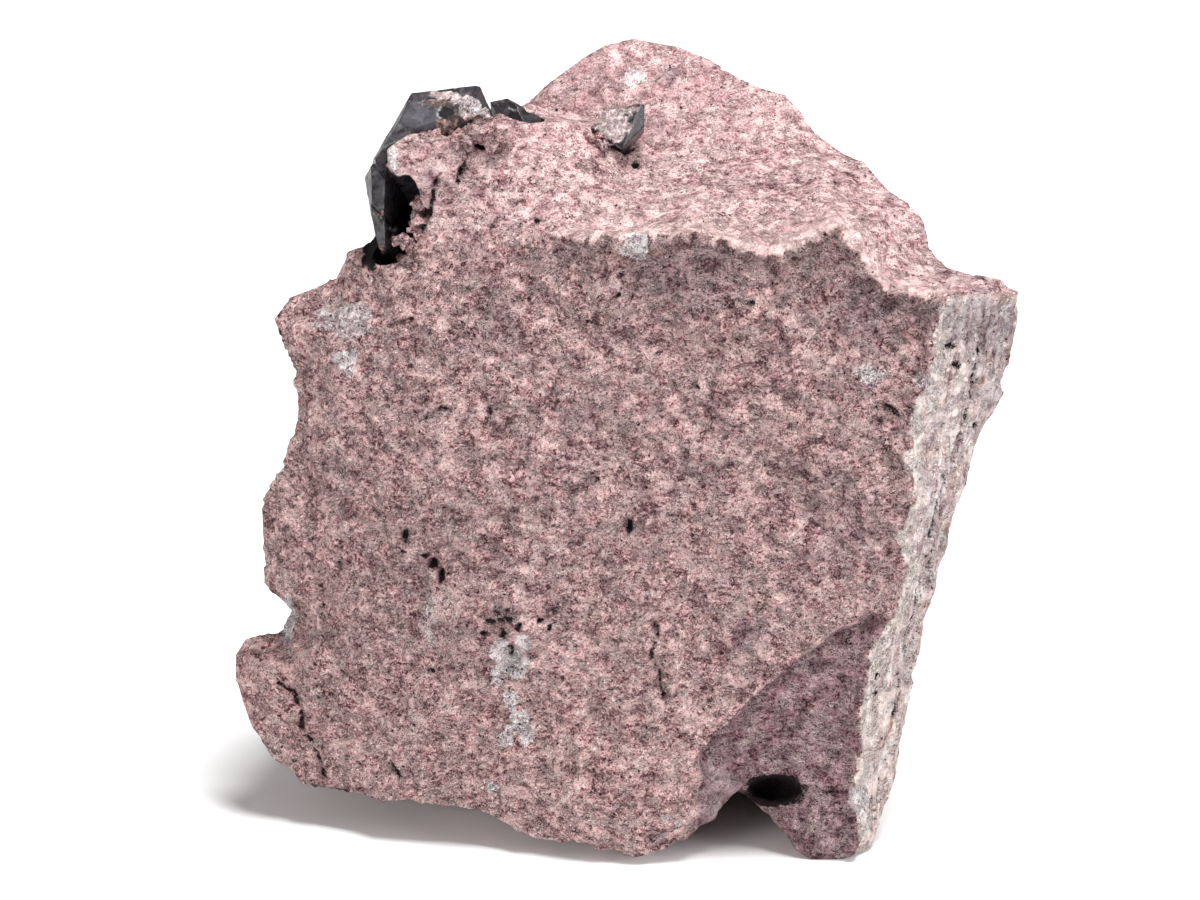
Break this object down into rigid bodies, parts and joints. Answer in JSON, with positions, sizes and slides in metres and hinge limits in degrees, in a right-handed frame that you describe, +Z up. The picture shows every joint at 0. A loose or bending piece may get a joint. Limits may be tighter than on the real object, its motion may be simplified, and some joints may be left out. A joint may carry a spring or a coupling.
{
  "type": "garnet in matrix",
  "caption": "Broken block of pink rhyolite with dark, flat-faced garnet crystals set in its upper corner.",
  "frame": {"origin": "on the table, under the middle of the block", "axes": "+X to the viewer's right across the broad front fracture, +Y away from the viewer, +Z up"},
  "size_m": [0.0604, 0.0362, 0.0578],
  "materials": {
    "rhyolite": "rough broken pink rhyolite, dry and matte",
    "garnet": "near-black crystal faces, semi-glossy to sub-metallic"
  },
  "bodies": {
    "root": {"matrix": "rhyolite", "garnet_cluster": "garnet", "garnet_second": "garnet", "garnet_small": "garnet"}
  },
  "joints": []
}
